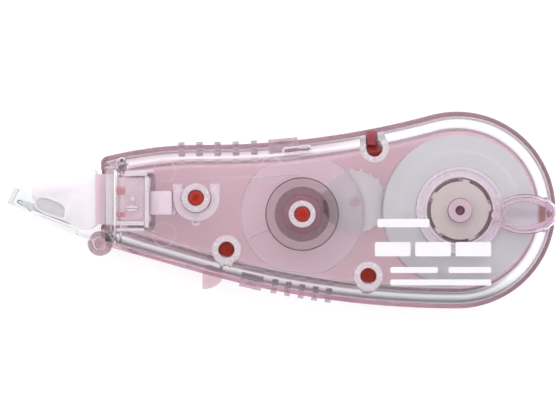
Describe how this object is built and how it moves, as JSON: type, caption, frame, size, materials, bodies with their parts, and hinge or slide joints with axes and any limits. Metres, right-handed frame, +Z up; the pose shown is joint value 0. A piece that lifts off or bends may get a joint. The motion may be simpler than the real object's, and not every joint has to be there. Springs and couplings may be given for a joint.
{
  "type": "correction tape roller",
  "caption": "Drop-shaped see-through correction tape roller with a sprung head, a hinged tip cap and geared reels.",
  "frame": {"origin": "centre of the bounding box at its base, with the roller lying on its rear shell", "axes": "+Z up out of the front shell, +X towards the round end, the head points to -X"},
  "size_m": [0.0937, 0.0335, 0.014],
  "materials": {
    "pink_clear": "clear gloss",
    "clear": "clear gloss",
    "cage_clear": "clear gloss",
    "head_white": "milky gloss",
    "stem_milky": "milky gloss",
    "blade_white": "milky gloss",
    "cap_clear": "clear gloss",
    "gear_milky": "milky satin",
    "spring_grey": "satin",
    "plate_beige": "satin",
    "core_milky": "milky satin",
    "flange_clear": "clear gloss",
    "tape_white": "matt",
    "idler_white": "milky satin",
    "hub_clear": "clear gloss",
    "disc_clear": "clear gloss",
    "backing": "waxy"
  },
  "bodies": {
    "case": {"rear_shell": "pink_clear", "front_shell": "clear", "head_cage": "cage_clear", "feed_tape": "tape_white", "return_tape": "backing"},
    "head": {"head_nozzle": "head_white", "head_stem": "stem_milky", "applicator_blade": "blade_white", "tip_tape": "tape_white"},
    "cap": {"tip_cap": "cap_clear"},
    "drive": {"drive_gear": "gear_milky", "clutch_spring": "spring_grey", "clutch_plate": "plate_beige"},
    "spool": {"supply_core": "core_milky", "supply_flange": "flange_clear", "supply_tape": "tape_white"},
    "idler": {"idler_gear": "idler_white"},
    "take_up": {"take_up_hub": "hub_clear", "take_up_pinion": "gear_milky", "take_up_flange": "disc_clear", "spent_tape": "backing"}
  },
  "joints": [
    {"name": "cap_hinge", "type": "hinge", "parent": "case", "child": "cap", "pos_m": [-0.0304, -0.00565, 0.007], "axis": [0, 0, 1], "range_deg": [0, 179]},
    {"name": "head_tilt", "type": "hinge", "parent": "case", "child": "head", "pos_m": [-0.0142, 0.00205, 0.007], "axis": [0, 0, 1], "range_deg": [-2.2, 0], "stiffness_Nm_per_rad": 0.02},
    {"name": "spool_spin", "type": "hinge", "parent": "case", "child": "spool", "pos_m": [0.03045, -0.0001, 0.007], "axis": [0, 0, 1], "continuous": true},
    {"name": "drive_spin", "type": "hinge", "parent": "case", "child": "drive", "pos_m": [0.03045, -0.0001, 0.007], "axis": [0, 0, 1], "continuous": true},
    {"name": "idler_spin", "type": "hinge", "parent": "case", "child": "idler", "pos_m": [0.01276, 0.00138, 0.007], "axis": [0, 0, 1], "continuous": true},
    {"name": "take_up_spin", "type": "hinge", "parent": "case", "child": "take_up", "pos_m": [0.00375, -0.0007, 0.007], "axis": [0, 0, 1], "continuous": true}
  ],
  "couplings": [
    {"joint": "drive_spin", "follows": "spool_spin", "ratio": 1},
    {"joint": "idler_spin", "follows": "spool_spin", "ratio": -2.381},
    {"joint": "take_up_spin", "follows": "spool_spin", "ratio": 3.125}
  ]
}
